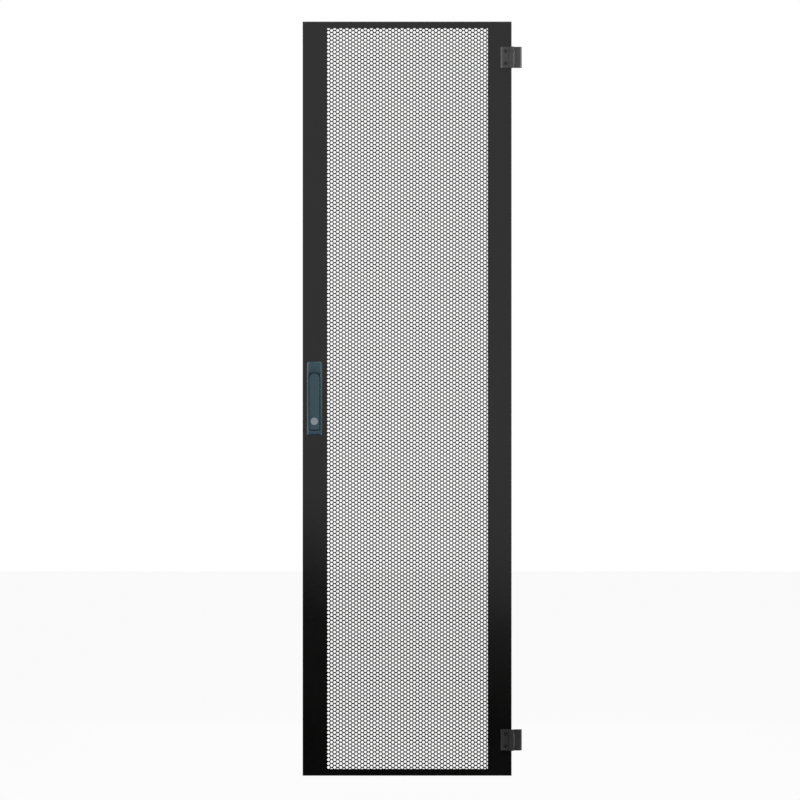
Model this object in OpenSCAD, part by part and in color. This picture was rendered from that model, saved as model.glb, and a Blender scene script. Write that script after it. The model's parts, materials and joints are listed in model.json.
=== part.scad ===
// Perforated rack door: a folded steel frame with a perforated sheet behind its window,
// two surface hinges on its right edge, and a swing handle that works two locking rods.
//
// Frame: millimetres, +Z up, +X to the right as seen from the front, the front faces -Y.
// The origin is the middle of the lower hinge's two fixing holes, in the plane of the
// cabinet post's front face, which is also the plane of the door's front face.

/* [Door] */
// Width of the door
door_w = 550; // [400:1:800]
// Height of the door
door_h = 1985; // [1200:1:2300]
// Depth of the folded edge
fold_depth = 20; // [19:0.5:40]
// Width of the return flange at the back of the fold
return_w = 10; // [4:0.5:10]
// Thickness of the frame's sheet
sheet_t = 1.5; // [1:0.1:2]
// Outside radius of the bends
bend_r = 2.5; // [2.2:0.1:4]
// Width of the slit where two folded edges meet at a corner
corner_slit = 0.8; // [0.4:0.1:2]

/* [Window and perforated sheet] */
// Width of each stile beside the window
stile_w = 62.5; // [60:0.5:90]
// Width of the top and bottom rails
rail_w = 17.5; // [15.5:0.5:40]
// Corner radius of the window
window_r = 2; // [1:0.5:5]
// Thickness of the perforated sheet
mesh_t = 1.2; // [0.8:0.1:2]
// How far the perforated sheet lies behind the frame on each side
mesh_lap = 8; // [4:0.5:10]
// Pitch between the columns of holes in the real sheet
hole_pitch_x = 8.07; // [6:0.01:12]
// Pitch between the holes of one column in the real sheet
hole_pitch_z = 10.18; // [8:0.01:14]
// Diameter of a hole in the real sheet
hole_d = 7.4; // [4:0.1:7.8]
// How many times coarser than the real sheet the holes are modelled
hole_coarse = 4; // [3:0.5:10]

/* [Mesh channels] */
// Depth of the channels that clamp the sheet's long edges
channel_depth = 14; // [8:0.5:15]
// Width of the channels
channel_w = 8; // [6:0.5:9]
// Depth of the angles that clamp the sheet's short edges
angle_depth = 9; // [5:0.5:15]

/* [Hinges] */
// Distance from the door's top and bottom to the middle of the hinges
hinge_inset = 95; // [60:1:300]
// Height of a hinge
hinge_h = 55.6; // [50:0.2:80]
// Width of the door leaf, from the axis
door_leaf_w = 29; // [26:0.5:40]
// Width of the frame leaf, from the axis
frame_leaf_w = 26.6; // [25:0.2:40]
// Thickness of the leaves
leaf_t = 5.5; // [4.5:0.1:6]
// Width of the sloped edge of the leaves
leaf_bevel = 4.5; // [2:0.5:6]
// Radius of the knuckles
knuckle_r = 6.8; // [5:0.1:6.9]
// Distance from the plane of the leaves to the hinge axis
axis_out = 7; // [6.9:0.1:9]
// Radius of the hinge pin
hinge_pin_r = 2.5; // [1.5:0.1:3.5]
// Height of each outer knuckle
outer_knuckle_h = 12; // [8:0.5:16]
// Thickness of the washers between the knuckles
hinge_washer_t = 0.8; // [0.4:0.1:1.5]
// Distance from the hinge axis to the line of the screws
screw_line = 16; // [14.5:0.1:17]
// Distance between the two screws of a leaf
screw_pitch = 32; // [20:0.5:38]
// Radius of the leaf screws' thread
leaf_screw_r = 2.5; // [2:0.1:3]
// Radius of the tapped holes in the frame leaf
tapped_r = 2.1; // [1.5:0.05:2.5]
// Depth of the tapped holes in the frame leaf
tapped_depth = 4.5; // [2:0.1:4.6]
// Thickness of the tapped plate behind the door leaf
hinge_plate_t = 3; // [2:0.5:5]

/* [Handle] */
// Distance from the door's left edge to the middle of the handle
handle_inset = 31.4; // [29.6:0.1:32.5]
// Height of the lever's turning axis above the bottom of the door
pivot_height = 1046; // [600:1:1200]
// Width of the handle housing
housing_w = 40; // [40:0.5:44]
// Reach of the housing above the turning axis
housing_up = 43.6; // [42:0.2:60]
// Gap between the lever's arc and the end block, and from there down to the housing's end
end_block_h = 15.5; // [12:0.5:30]
// Height of the housing's rim above the door
rim_h = 5.3; // [4.5:0.1:6]
// Thickness of the gasket under the housing
gasket_t = 1; // [0.5:0.1:2]
// Width of the lever
lever_w = 26.4; // [24:0.2:27]
// Reach of the lever below the turning axis
lever_reach = 135; // [120:1:180]
// Distance from the rim to the lever's back
lever_gap = 2.5; // [2.2:0.1:5]
// Thickness of the lever in the middle
lever_t = 10; // [9:0.5:14]
// Radius of the lever's crowned front
lever_crown_r = 45; // [30:1:200]
// Distance from the lever's end up to the lock
lock_up = 22; // [16:0.5:30]
// Diameter of the lock's face
lock_face_d = 19.3; // [17:0.1:21]
// Diameter of the lock's sleeve
lock_sleeve_d = 16; // [13:0.5:16.5]
// Diameter of the lock's turning plug
lock_plug_d = 10; // [8:0.5:11]
// How far the lock's cam enters the end block
cam_bite = 3.5; // [2:0.5:5]

/* [Gearbox and rods] */
// Gear module
gear_m = 1.25; // [1:0.05:1.3]
// Number of teeth of the pinion, a multiple of 4
pinion_teeth = 16; // [12:4:16]
// Width of the teeth
tooth_w = 5.4; // [4:0.1:5.6]
// Solid width of a rack behind its teeth
rack_w = 5.9; // [4:0.1:6]
// Wall of the gearbox
box_wall = 2.2; // [1.5:0.1:2.3]
// Side of the square spindle
spindle_side = 8; // [6:0.5:9]
// Width of the locking rods
rod_w = 10; // [6:0.5:12]
// Thickness of the locking rods
rod_t = 3; // [2:0.1:3.2]
// Distance from the door's top and bottom to the rods' tips
tip_margin = 13; // [12:0.5:60]
// How far a rod's tip reaches behind the door
tip_reach = 6; // [3:0.5:12]

/* [Fits] */
// Radial clearance of turning pins and bores
fit_gap = 0.05; // [0.02:0.01:0.1]
// Clearance around sliding and seated pieces
slide_gap = 0.3; // [0.2:0.05:0.4]

/* [Hidden] */

// How finely round forms are drawn, and a small overshoot for cuts
$fn = 48;
cut = 1;

// Colours
powder_black = "#2e2d2c";
hinge_black = "#3d3c3d";
handle_teal = "#3f5159";
nylon_black = "#1f2021";
steel_bright = "#a9adb0";

// Door, placed from the hinge axis
axis_x = -screw_line;
door_right = axis_x;
door_left = door_right - door_w;
door_mid = (door_left + door_right)/2;
door_bottom = -hinge_inset;
door_top = door_bottom + door_h;
door_mid_z = (door_bottom + door_top)/2;
upper_hinge_z = door_h - 2*hinge_inset;
window_w = door_w - 2*stile_w;
window_h = door_h - 2*rail_w;
mesh_back = sheet_t + mesh_t;
fold_inside = fold_depth - sheet_t;

// Perforation
pitch_x = hole_pitch_x*hole_coarse;
pitch_z = hole_pitch_z*hole_coarse;
mesh_hole_d = hole_d*hole_coarse;
hole_cols = floor(window_w/pitch_x);
hole_rows = floor((window_h - pitch_z/2)/pitch_z);

// Handle
handle_x = door_left + handle_inset;
pivot_z = door_bottom + pivot_height;
housing_reach = lever_reach + end_block_h;
rim_w = 2.7;
floor_h = rim_h - 2.3;
lever_back = rim_h + lever_gap;
lever_front = lever_back + lever_t;
recess_r = housing_w/2 - rim_w;
lever_end_gap = 0.8;
lock_z = -(lever_reach - lock_up);
cam_t = 1.5;
cam_reach = lock_up + lever_end_gap + cam_bite;
lever_pin_r = 2;
lever_pin_up = 4;
lever_pin_out = lever_back + 3.7;
hub_flange_r = 12.5;
hub_r = 10;
ear_in = 5;
ear_out = 8;
body_half_w = housing_w/2 - 5;
body_depth = 7;
body_top = housing_up - 6;
pocket_top = -39;
pocket_bottom = lock_z + 16;
deep_bottom = lock_z + 3;
body_bottom = -(housing_reach - 22);
clamp_screw_z = body_bottom + 8;
clamp_t = 2;

// Gearbox, its depths measured back from the door's front face
pitch_r = gear_m*pinion_teeth/2;
tooth_pitch = PI*gear_m;
tooth_play = 0.15;
pressure = 20;
stroke = pitch_r*PI/2;
rack_root = pitch_r + 1.25*gear_m;
rack_out = rack_root + rack_w;
rack_mid = rack_out - rack_w/2;
box_half_w = rack_out + slide_gap + box_wall;
base_t = 2;
base_back = body_depth + base_t;
teeth_front = base_back + slide_gap;
teeth_back = teeth_front + tooth_w;
cover_front = teeth_back + slide_gap;
cover_t = 2;
cover_back = cover_front + cover_t;
box_half_h = 38;
box_screw_z = 31.5;
box_screw_r = 2;
journal_r = 7;
rack_above = 2*tooth_pitch;
rack_below = 2*tooth_pitch + stroke;
rack_end = box_half_h + stroke + 4;
lap_h = 24;
rod_front = teeth_front;
rod_back = rod_front + rod_t;
tip_h = 26;

// A flat outline drawn in X and Z, given a thickness between two distances in front of the door
module facing(back, front) {
  translate([0, -back, 0]) rotate([90, 0, 0]) linear_extrude(front - back) children();
}

// The same with its thickness between two depths behind the door's front face
module behind(front, back) {
  facing(-back, -front) children();
}

// A profile drawn in Y and Z, extruded along X between two places
module across(from, to) {
  translate([from, 0, 0]) rotate([90, 0, 90]) linear_extrude(to - from) children();
}

// A round bar along Y between two depths behind the door's front face
module bar_y(r, front, back) {
  translate([0, front, 0]) rotate([-90, 0, 0]) cylinder(r = r, h = back - front);
}

// A rectangle with round corners, centred
module round_rect(w, h, r) {
  square([w - 2*r, h], center = true);
  square([w, h - 2*r], center = true);
  for (x = [-1, 1], z = [-1, 1]) translate([x*(w/2 - r), z*(h/2 - r)]) circle(r = r);
}

// A hexagon nut or head along Y
module hex_y(flats, front, back) {
  translate([0, front, 0]) rotate([-90, 0, 0]) cylinder(d = flats/cos(30), h = back - front, $fn = 6);
}

module at_handle() {
  translate([handle_x, 0, pivot_z]) children();
}

// ---- Door frame -------------------------------------------------------------------

// A tray with bent edges, closed at the front; inset is the distance inside the outer skin
module bent_block(inset) {
  w = door_w - 2*inset;
  h = door_h - 2*inset;
  r = bend_r - inset;
  d = fold_depth - 2*inset;
  intersection() {
    translate([door_mid, inset + d/2, door_bottom + inset]) linear_extrude(h) round_rect(w, d, r);
    translate([0, 0, door_mid_z]) across(door_left + inset, door_right - inset)
      translate([inset + d/2, 0]) round_rect(d, h, r);
  }
}

module handle_cutout(gap) {
  h = body_top - body_bottom + 2*gap;
  translate([0, (body_top + body_bottom)/2]) round_rect(2*(body_half_w + gap), h, 4);
}

module hinge_screw_places() {
  for (z = [0, upper_hinge_z], s = [-0.5, 0.5])
    translate([axis_x - screw_line, 0, z + s*screw_pitch]) children();
}

module corner_slits() {
  for (x = [door_left + return_w/2, door_right - return_w/2], z = [door_bottom + return_w/2, door_top - return_w/2])
    translate([x, (fold_inside + fold_depth)/2, z])
      rotate([0, (x < door_mid) == (z > door_mid_z) ? 45 : -45, 0])
        cube([2*return_w, sheet_t + 2*cut, corner_slit], center = true);
}

module door_frame() {
  color(powder_black) difference() {
    bent_block(0);
    bent_block(sheet_t);
    translate([door_mid, 0, door_mid_z]) behind(-cut, sheet_t + cut) round_rect(window_w, window_h, window_r);
    translate([door_mid, 0, door_mid_z]) behind(fold_inside - 0.2, fold_depth + cut)
      square([door_w - 2*return_w, door_h - 2*return_w], center = true);
    corner_slits();
    at_handle() behind(-cut, sheet_t + cut) handle_cutout(0.5);
    hinge_screw_places() bar_y(leaf_screw_r + 0.4, -cut, sheet_t + cut);
  }
}

module mesh_panel() {
  color(powder_black) translate([door_mid, 0, door_mid_z]) behind(sheet_t, mesh_back) difference() {
    square([window_w + 2*mesh_lap, window_h + 2*mesh_lap], center = true);
    for (i = [0:hole_cols - 1], j = [0:hole_rows - 1])
      translate([(i - (hole_cols - 1)/2)*pitch_x, (j - (hole_rows - 1)/2 + (i%2 == 0 ? 0.25 : -0.25))*pitch_z])
        circle(d = mesh_hole_d, $fn = 24);
  }
}

// A U channel on the rim of the perforated sheet, drawn in X and Y and open towards the stile
module side_channel(side) {
  edge = door_mid + side*window_w/2;
  length = door_h - 2*sheet_t - 2*slide_gap;
  color(powder_black) translate([0, 0, door_mid_z - length/2]) linear_extrude(length) difference() {
    translate([edge + (side > 0 ? 0 : -channel_w), mesh_back]) square([channel_w, channel_depth]);
    translate([edge + side*(channel_w/2 + sheet_t), mesh_back + channel_depth/2])
      square([channel_w, channel_depth - 2*sheet_t], center = true);
  }
}

module left_channel() {
  side_channel(-1);
}

module right_channel() {
  side_channel(1);
}

// An angle on the rim of the perforated sheet, between the two channels
module rim_angle(side) {
  edge = door_mid_z + side*window_h/2;
  leg = mesh_lap;
  color(powder_black) across(door_mid - window_w/2, door_mid + window_w/2) difference() {
    translate([mesh_back, edge + (side > 0 ? 0 : -leg)]) square([angle_depth, leg]);
    translate([mesh_back + sheet_t + angle_depth/2, edge + side*(sheet_t + leg/2)]) square([angle_depth, leg], center = true);
  }
}

module top_angle() {
  rim_angle(1);
}

module bottom_angle() {
  rim_angle(-1);
}

// ---- Small parts of the door ------------------------------------------------------

stud_r = 2.5;
stud_back = 16;
earth_x = door_right - 30;
earth_z = door_bottom + 60;

module earth_stud() {
  color(steel_bright) translate([earth_x, 0, earth_z]) {
    bar_y(stud_r, sheet_t, stud_back);
    bar_y(stud_r + 2, sheet_t, sheet_t + 1);
  }
}

module earth_nut() {
  color(steel_bright) translate([earth_x, 0, earth_z]) difference() {
    union() {
      bar_y(stud_r + 3.5, sheet_t + 5, sheet_t + 6);
      hex_y(8, sheet_t + 6, sheet_t + 10);
    }
    bar_y(stud_r + fit_gap, sheet_t, stud_back);
  }
}

// Rubber stops stuck on the return flange
bumper_r = 4;
bumper_h = 4;

module door_bumpers() {
  color(nylon_black) for (x = [door_left + return_w/2, door_right - return_w/2], s = [-1, 1])
    translate([x, 0, door_mid_z + s*(door_h/2 - 180)]) {
      bar_y(bumper_r, fold_depth, fold_depth + bumper_h - 1);
      bar_y(bumper_r - 1, fold_depth, fold_depth + bumper_h);
    }
}

// ---- Hinges -----------------------------------------------------------------------

knuckle_gap = 0.1;
middle_h = hinge_h - 2*outer_knuckle_h - 2*hinge_washer_t - 4*knuckle_gap;

// The leaf's profile in X and Y, from the axis outwards along +X, with its outer edge sloped
module leaf_profile(width) {
  translate([0, -axis_out]) circle(r = knuckle_r);
  polygon([[0, -axis_out], [knuckle_r - 0.4, -leaf_t], [width - leaf_bevel, -leaf_t], [width, -1.5], [width, 0], [4, 0]]);
}

module leaf_plate(width) {
  linear_extrude(hinge_h, center = true) polygon([
    [knuckle_r + slide_gap, 0], [knuckle_r + slide_gap, -leaf_t], [width - leaf_bevel, -leaf_t],
    [width, -1.5], [width, 0]
  ]);
}

module pin_bore() {
  translate([0, -axis_out, 0]) cylinder(r = hinge_pin_r + fit_gap, h = hinge_h + 2*cut, center = true);
}

// The door leaf lies on the left of the axis and carries the middle knuckle
module door_leaf() {
  color(hinge_black) difference() {
    union() {
      mirror([1, 0, 0]) leaf_plate(door_leaf_w);
      mirror([1, 0, 0]) linear_extrude(middle_h, center = true) leaf_profile(door_leaf_w);
    }
    pin_bore();
    for (s = [-0.5, 0.5]) translate([-screw_line, 0, s*screw_pitch]) {
      bar_y(leaf_screw_r + 0.3, -leaf_t - cut, cut);
      translate([0, -leaf_t - 0.01, 0]) rotate([-90, 0, 0])
        cylinder(r1 = 2*leaf_screw_r + 0.3, r2 = leaf_screw_r + 0.3, h = leaf_screw_r);
    }
  }
}

// The frame leaf lies on the right of the axis and carries the two outer knuckles
module frame_leaf() {
  color(hinge_black) difference() {
    union() {
      leaf_plate(frame_leaf_w);
      for (s = [-1, 1]) translate([0, 0, s*(hinge_h - outer_knuckle_h)/2])
        linear_extrude(outer_knuckle_h, center = true) leaf_profile(frame_leaf_w);
    }
    pin_bore();
    for (s = [-0.5, 0.5]) translate([screw_line, 0, s*screw_pitch]) bar_y(tapped_r, -tapped_depth, cut);
  }
}

module hinge_pin() {
  color(steel_bright) translate([0, -axis_out, 0]) {
    cylinder(r = hinge_pin_r, h = hinge_h, center = true);
    translate([0, 0, -hinge_h/2 - 1]) cylinder(r1 = hinge_pin_r + 0.6, r2 = hinge_pin_r + 1.2, h = 1);
  }
}

module hinge_washers() {
  z = (middle_h + hinge_washer_t)/2 + knuckle_gap;
  color(nylon_black) for (s = [-1, 1]) translate([0, -axis_out, s*z]) difference() {
    cylinder(r = knuckle_r - 0.5, h = hinge_washer_t, center = true);
    cylinder(r = hinge_pin_r + fit_gap, h = hinge_washer_t + cut, center = true);
  }
}

module hinge_plate() {
  color(steel_bright) difference() {
    translate([-screw_line, 0, 0]) behind(sheet_t, sheet_t + hinge_plate_t)
      round_rect(2*(screw_line - sheet_t - bend_r), hinge_h - 4, 3);
    for (s = [-0.5, 0.5]) translate([-screw_line, 0, s*screw_pitch]) bar_y(leaf_screw_r + fit_gap, 0, fold_depth);
  }
}

module hinge_screws() {
  head_h = leaf_screw_r;
  color(nylon_black) for (s = [-0.5, 0.5]) translate([-screw_line, 0, s*screw_pitch]) difference() {
    union() {
      translate([0, -leaf_t + 0.1, 0]) rotate([-90, 0, 0])
        cylinder(r1 = 2*leaf_screw_r, r2 = leaf_screw_r, h = head_h);
      bar_y(leaf_screw_r, -leaf_t + head_h, sheet_t + hinge_plate_t + 2);
    }
    hex_y(1.3*leaf_screw_r, -leaf_t - cut, -leaf_t + 1.6);
  }
}

module at_hinge(z) {
  translate([axis_x, 0, z]) children();
}

module upper_door_leaf() { at_hinge(upper_hinge_z) door_leaf(); }
module upper_frame_leaf() { at_hinge(upper_hinge_z) frame_leaf(); }
module upper_hinge_pin() { at_hinge(upper_hinge_z) hinge_pin(); }
module upper_hinge_washers() { at_hinge(upper_hinge_z) hinge_washers(); }
module upper_hinge_plate() { at_hinge(upper_hinge_z) hinge_plate(); }
module upper_hinge_screws() { at_hinge(upper_hinge_z) hinge_screws(); }
module lower_door_leaf() { at_hinge(0) door_leaf(); }
module lower_frame_leaf() { at_hinge(0) frame_leaf(); }
module lower_hinge_pin() { at_hinge(0) hinge_pin(); }
module lower_hinge_washers() { at_hinge(0) hinge_washers(); }
module lower_hinge_plate() { at_hinge(0) hinge_plate(); }
module lower_hinge_screws() { at_hinge(0) hinge_screws(); }

// ---- Handle housing ---------------------------------------------------------------
// Inside at_handle() the lever's turning axis runs along Y through X = Z = 0.

lever_lift_max = 35;
housing_corner_r = 7;
block_front = lever_front - 2;
block_edge = lever_reach + lever_end_gap;
cam_front = lever_back - 0.5;
cam_back = cam_front - cam_t;
cam_w = 8;
crest_bottom = 18;
crest_front = lever_back + 4;

module housing_outline(inset) {
  intersection() {
    translate([0, (housing_up - housing_reach - 2)/2])
      round_rect(housing_w - 2*inset, housing_up + housing_reach + 2 - 2*inset, housing_corner_r - inset);
    circle(r = housing_reach - inset, $fn = 96);
  }
}

module recess_outline(r) {
  circle(r = r);
  translate([-r, -block_edge]) square([2*r, block_edge]);
}

module end_block() {
  facing(floor_h, block_front) difference() {
    housing_outline(1.6);
    circle(r = block_edge, $fn = 96);
  }
}

// The raised top behind which the lever's root turns
module crest() {
  intersection() {
    facing(floor_h, crest_front) housing_outline(1.6);
    across(-housing_w/2, housing_w/2) polygon([
      [0, crest_bottom], [-rim_h, crest_bottom], [-crest_front, crest_bottom + 5],
      [-crest_front, housing_up - 10], [-rim_h, housing_up], [0, housing_up]
    ]);
  }
}

module handle_body_solid() {
  deep_h = body_top - deep_bottom;
  translate([0, 0, (body_top + deep_bottom)/2]) behind(-gasket_t, body_depth) round_rect(2*body_half_w, deep_h, 3.5);
  translate([0, 0, (body_top + body_bottom)/2]) behind(-gasket_t, sheet_t - 0.2)
    round_rect(2*body_half_w, body_top - body_bottom, 3.5);
}

module handle_housing() {
  pocket_h = pocket_top - pocket_bottom;
  color(handle_teal) at_handle() difference() {
    union() {
      facing(gasket_t, rim_h - 1) housing_outline(0);
      facing(rim_h - 1.01, rim_h) housing_outline(0.6);
      handle_body_solid();
      end_block();
      crest();
    }
    difference() {
      facing(floor_h, rim_h + cut) recess_outline(recess_r);
      crest();
    }
    translate([0, 0, (pocket_top + pocket_bottom)/2]) behind(-rim_h, body_depth - 2)
      round_rect(2*body_half_w - 4, pocket_h, 6);
    bar_y(hub_r + fit_gap, -rim_h, body_depth + cut);
    for (s = [-1, 1]) translate([0, 0, s*box_screw_z]) bar_y(box_screw_r + 0.02, -gasket_t, body_depth + cut);
    translate([0, 0, clamp_screw_z]) bar_y(1.5, -gasket_t, sheet_t + cut);
    facing(cam_back - slide_gap, cam_front + slide_gap) translate([0, lock_z]) circle(r = cam_reach + 0.5);
  }
}

module handle_gasket() {
  color(nylon_black) at_handle() facing(0, gasket_t) difference() {
    housing_outline(1);
    handle_cutout(0.3);
  }
}

// ---- Hub, lever and lock ----------------------------------------------------------

hub_flange_back = floor_h + 0.2;
hub_flange_front = hub_flange_back + 2;
hub_back = body_depth - 0.1;

module ear_profile() {
  translate([-lever_pin_out, lever_pin_up]) circle(r = lever_pin_r + 1.6);
  polygon([
    [-lever_pin_out, lever_pin_up + lever_pin_r + 1.6], [-lever_pin_out, lever_pin_up - lever_pin_r - 1.6],
    [-hub_flange_back, -6], [-hub_flange_back, lever_pin_up]
  ]);
}

module handle_hub() {
  color(steel_bright) at_handle() difference() {
    union() {
      bar_y(hub_flange_r, -hub_flange_front, -hub_flange_back);
      bar_y(hub_r, -hub_flange_back - 0.1, hub_back);
      behind(hub_back - 0.1, cover_back - 1) square(spindle_side, center = true);
      across(ear_in, ear_out) ear_profile();
      across(-ear_out, -ear_in) ear_profile();
    }
    translate([-lever_w/2, -lever_pin_out, lever_pin_up]) rotate([0, 90, 0])
      cylinder(r = lever_pin_r + 0.02, h = lever_w);
    bar_y(1.68, base_back, cover_back);
  }
}

module lever_pin() {
  half = sqrt(lever_w*lever_w/4 - lever_pin_up*lever_pin_up) - 0.4;
  color(steel_bright) at_handle() translate([-half, -lever_pin_out, lever_pin_up]) rotate([0, 90, 0])
    cylinder(r = lever_pin_r, h = 2*half);
}

// The lever seen from the front: a round top about the turning axis and an end on an arc about it
module lever_outline(inset) {
  r = lever_w/2 - inset;
  reach = lever_reach - inset;
  end_r = 3;
  circle(r = r);
  intersection() {
    union() {
      translate([-r, -reach + end_r]) square([2*r, reach - end_r]);
      translate([0, -reach/2 - 2]) round_rect(2*r, reach - 2, end_r);
    }
    circle(r = reach, $fn = 96);
  }
}

module handle_lever() {
  crown_out = lever_front - lever_crown_r;
  relief = lever_pin_out - hub_flange_front - 0.6;
  face_seat = lever_front - 1.2;
  color(handle_teal) at_handle() difference() {
    intersection() {
      facing(lever_back, lever_front) lever_outline(0);
      translate([0, -crown_out, -lever_reach - 1])
        cylinder(r = lever_crown_r, h = lever_reach + lever_w, $fn = 180);
    }
    facing(lever_back - cut, lever_front - 2.6)
      translate([-ear_out - 1, -10]) square([2*ear_out + 2, lever_pin_up + 14.4]);
    translate([-lever_w/2, -lever_pin_out, lever_pin_up]) rotate([0, 90, 0])
      cylinder(r = lever_pin_r + fit_gap, h = lever_w);
    translate([0, -lever_pin_out, lever_pin_up]) rotate([lever_lift_max, 0, 0])
      translate([-lever_w, relief, -lever_w]) cube(2*lever_w);
    facing(lever_back - cut, lever_back + 5) difference() {
      translate([0, (lock_z - 30)/2 + 4]) square([lever_w - 9, -lock_z - 48], center = true);
    }
    translate([0, 0, lock_z]) {
      bar_y(lock_sleeve_d/2 + fit_gap, -lever_front - cut, -lever_back + cut);
      bar_y(lock_face_d/2 + 0.15, -lever_front - cut, -face_seat);
    }
  }
}

module lock_sleeve() {
  color(steel_bright) at_handle() translate([0, 0, lock_z]) difference() {
    union() {
      bar_y(lock_sleeve_d/2, -lever_front + 1.2, -lever_back);
      bar_y(lock_face_d/2, -lever_front - 0.3, -lever_front + 1.2);
    }
    bar_y(lock_plug_d/2 + fit_gap, -lever_front - cut, -lever_back + cut);
  }
}

module lock_plug() {
  color(steel_bright) at_handle() translate([0, 0, lock_z]) difference() {
    union() {
      bar_y(lock_plug_d/2, -lever_front - 0.1, -cam_front);
      behind(-cam_front - 0.1, -cam_back) square(lock_plug_d/2, center = true);
    }
    facing(lever_front - 3, lever_front + cut) square([1.4, 0.65*lock_plug_d], center = true);
  }
}

// The cam points up behind the lever; half a turn swings it down into the end block
module lock_cam() {
  color(steel_bright) at_handle() translate([0, 0, lock_z]) facing(cam_back, cam_front) difference() {
    intersection() {
      union() {
        circle(d = lock_plug_d + 2);
        translate([-cam_w/2, 0]) square([cam_w, cam_reach]);
      }
      circle(r = cam_reach);
    }
    square(lock_plug_d/2 + 0.1, center = true);
  }
}

module handle_clamp() {
  h = 26;
  color(steel_bright) at_handle() translate([0, 0, clamp_screw_z - 4]) behind(sheet_t, sheet_t + clamp_t) difference() {
    round_rect(2*body_half_w - 1, h, 3);
    translate([0, 4]) circle(r = 1.9);
  }
}

module clamp_screw() {
  color(steel_bright) at_handle() translate([0, 0, clamp_screw_z]) {
    bar_y(1.48, -gasket_t + 0.2, sheet_t + clamp_t);
    bar_y(3.2, sheet_t + clamp_t, sheet_t + clamp_t + 2);
  }
}

// ---- Gearbox ----------------------------------------------------------------------

module gearbox_outline() {
  round_rect(2*box_half_w, 2*box_half_h, 3);
}

module box_screw_places() {
  for (s = [-1, 1]) translate([0, 0, s*box_screw_z]) children();
}

module gearbox_base() {
  color(steel_bright) at_handle() difference() {
    behind(body_depth, base_back) gearbox_outline();
    bar_y(journal_r + fit_gap, 0, cover_back);
    box_screw_places() bar_y(box_screw_r + 0.2, 0, cover_back);
  }
}

module gearbox_cover() {
  inner_w = rack_out + slide_gap;
  inner_h = box_half_h - 3;
  post_w = 8;
  color(steel_bright) at_handle() difference() {
    behind(base_back, cover_back) gearbox_outline();
    behind(base_back - cut, cover_front) difference() {
      square([2*inner_w, 2*inner_h], center = true);
      for (s = [-1, 1]) translate([0, s*(box_screw_z + 2)]) square([2*post_w, 14], center = true);
    }
    for (s = [-1, 1]) behind(base_back - cut, cover_front)
      translate([-s*(inner_w + rack_root - slide_gap)/2, s*box_half_h])
        square([inner_w - rack_root + slide_gap, 10], center = true);
    bar_y(journal_r + fit_gap, 0, cover_back + cut);
    box_screw_places() bar_y(box_screw_r + 0.2, 0, cover_back + cut);
  }
}

module gearbox_screws() {
  color(steel_bright) at_handle() box_screw_places() {
    bar_y(box_screw_r, 0, cover_back);
    difference() {
      bar_y(3.7, cover_back, cover_back + 2.6);
      hex_y(3, cover_back + 1, cover_back + 3);
    }
  }
}

// One tooth's outline about angle 0, from root to root, with involute flanks
function involute(base_r, roll) = let (t = roll*PI/180) [base_r*(cos(roll) + t*sin(roll)), base_r*(sin(roll) - t*cos(roll))];
function turned(p, a) = [p[0]*cos(a) - p[1]*sin(a), p[0]*sin(a) + p[1]*cos(a)];

module pinion_outline() {
  flank_steps = 4;
  base_r = pitch_r*cos(pressure);
  tip_r = pitch_r + 0.95*gear_m;
  root_r = pitch_r - 1.25*gear_m;
  half = 90/pinion_teeth - tooth_play/2/pitch_r*180/PI + tan(pressure)*180/PI - pressure;
  roll_end = sqrt(pow(tip_r/base_r, 2) - 1)*180/PI;
  flank = [for (i = [0:flank_steps]) involute(base_r, roll_end*i/flank_steps)];
  tooth = concat(
    [turned([root_r, 0], -half)],
    [for (p = flank) turned(p, -half)],
    [for (i = [flank_steps:-1:0]) turned([flank[i][0], -flank[i][1]], half)],
    [turned([root_r, 0], half)]
  );
  polygon([for (k = [0:pinion_teeth - 1], p = tooth) turned(p, 360*k/pinion_teeth)]);
}

module pinion() {
  color(steel_bright) at_handle() difference() {
    union() {
      behind(teeth_front, teeth_back) pinion_outline();
      bar_y(journal_r, hub_back + 0.2, teeth_front);
      bar_y(journal_r, teeth_back, cover_back);
    }
    behind(0, cover_back + cut) square(spindle_side + 2*fit_gap, center = true);
  }
}

module spindle_screw() {
  color(steel_bright) at_handle() difference() {
    union() {
      bar_y(1.65, base_back + 1, cover_back);
      bar_y(6, cover_back + 0.1, cover_back + 2);
      bar_y(1.65, cover_back, cover_back + 0.2);
    }
    hex_y(3, cover_back + 1, cover_back + 3);
  }
}

// ---- Racks and rods ---------------------------------------------------------------
// The upper set is drawn left of the turning axis; the lower set is the same turned half round.

module set_side(side) {
  at_handle() rotate([0, side > 0 ? 0 : 180, 0]) children();
}

module rack_outline() {
  thick = tooth_pitch/4 - tooth_play/2;
  tip = 0.9*gear_m;
  root = 1.25*gear_m;
  teeth = round((rack_above + rack_below)/tooth_pitch);
  translate([-rack_out, -rack_above]) square([rack_w, rack_end + rack_above]);
  for (k = [0:teeth - 1]) translate([-pitch_r, -rack_above + (k + 0.5)*tooth_pitch]) polygon([
    [-root - 0.1, -thick - root*tan(pressure)], [tip, -thick + tip*tan(pressure)],
    [tip, thick - tip*tan(pressure)], [-root - 0.1, thick + root*tan(pressure)]
  ]);
}

rivet_r = 2;

module rivet_places() {
  for (s = [0.25, 0.75]) translate([-rack_mid, 0, rack_end + s*lap_h]) children();
}

module rack(side) {
  color(steel_bright) set_side(side) difference() {
    union() {
      behind(teeth_front, teeth_back) rack_outline();
      behind(rod_back, teeth_back) translate([-rack_out, rack_end - 1]) square([rack_w, lap_h + 1]);
    }
    rivet_places() bar_y(rivet_r + 0.05, 0, fold_depth);
  }
}

// The far end of a rod, measured from the turning axis
function rod_end(side) = (side > 0 ? door_top - pivot_z : pivot_z - door_bottom) - tip_margin;

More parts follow.
